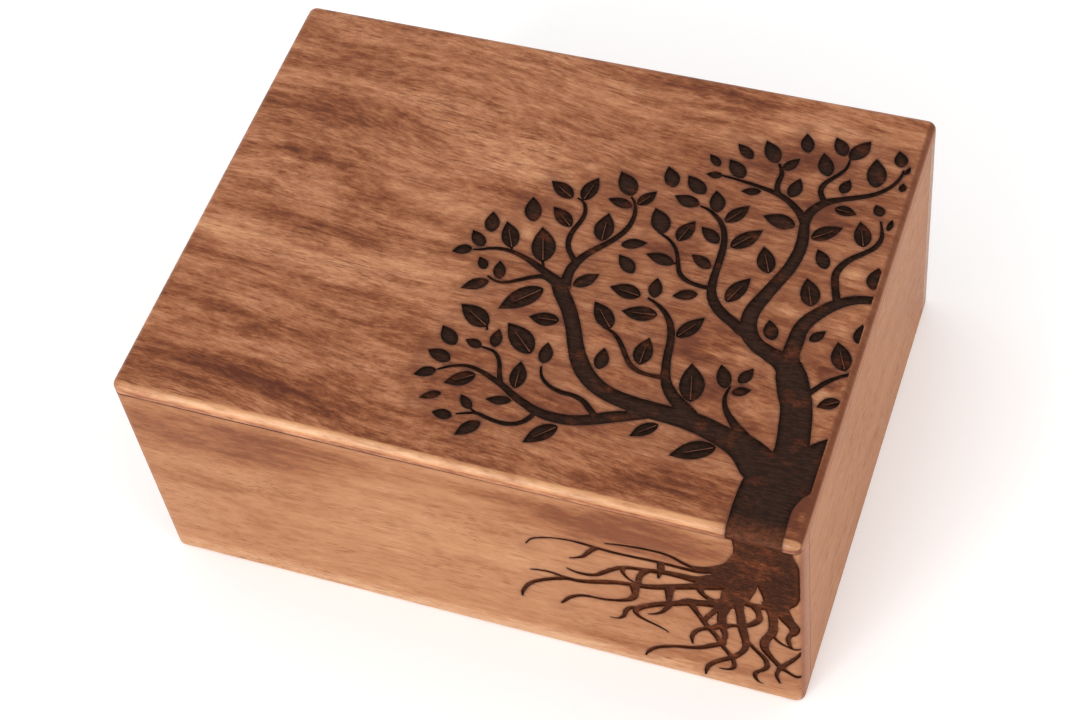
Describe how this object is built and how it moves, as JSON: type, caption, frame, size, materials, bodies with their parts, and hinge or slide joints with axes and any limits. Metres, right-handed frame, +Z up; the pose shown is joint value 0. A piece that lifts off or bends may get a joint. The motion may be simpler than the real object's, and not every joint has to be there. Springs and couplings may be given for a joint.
{
  "type": "cremation urn box",
  "caption": "Hollow rosewood urn box with rounded edges, a lift-off lid and a tree burned into the lid, its roots running down the front.",
  "frame": {"origin": "middle of the underside, on the plane the box stands on", "axes": "+Z up, +X to the right as seen from the front along the longest side, front face towards -Y"},
  "size_m": [0.254, 0.192, 0.11],
  "materials": {
    "lid_wood": "satin lacquered rosewood, wavy darker streaks",
    "front_wood": "satin lacquered rosewood, lighter, grain along the width",
    "end_wood": "satin lacquered rosewood, pale and pinkish",
    "base_wood": "plain planed rosewood, thin oil"
  },
  "bodies": {
    "root": {"lid": "lid_wood", "front_board": "front_wood", "back_board": "front_wood", "left_board": "end_wood", "right_board": "end_wood", "base_board": "base_wood"}
  },
  "joints": []
}
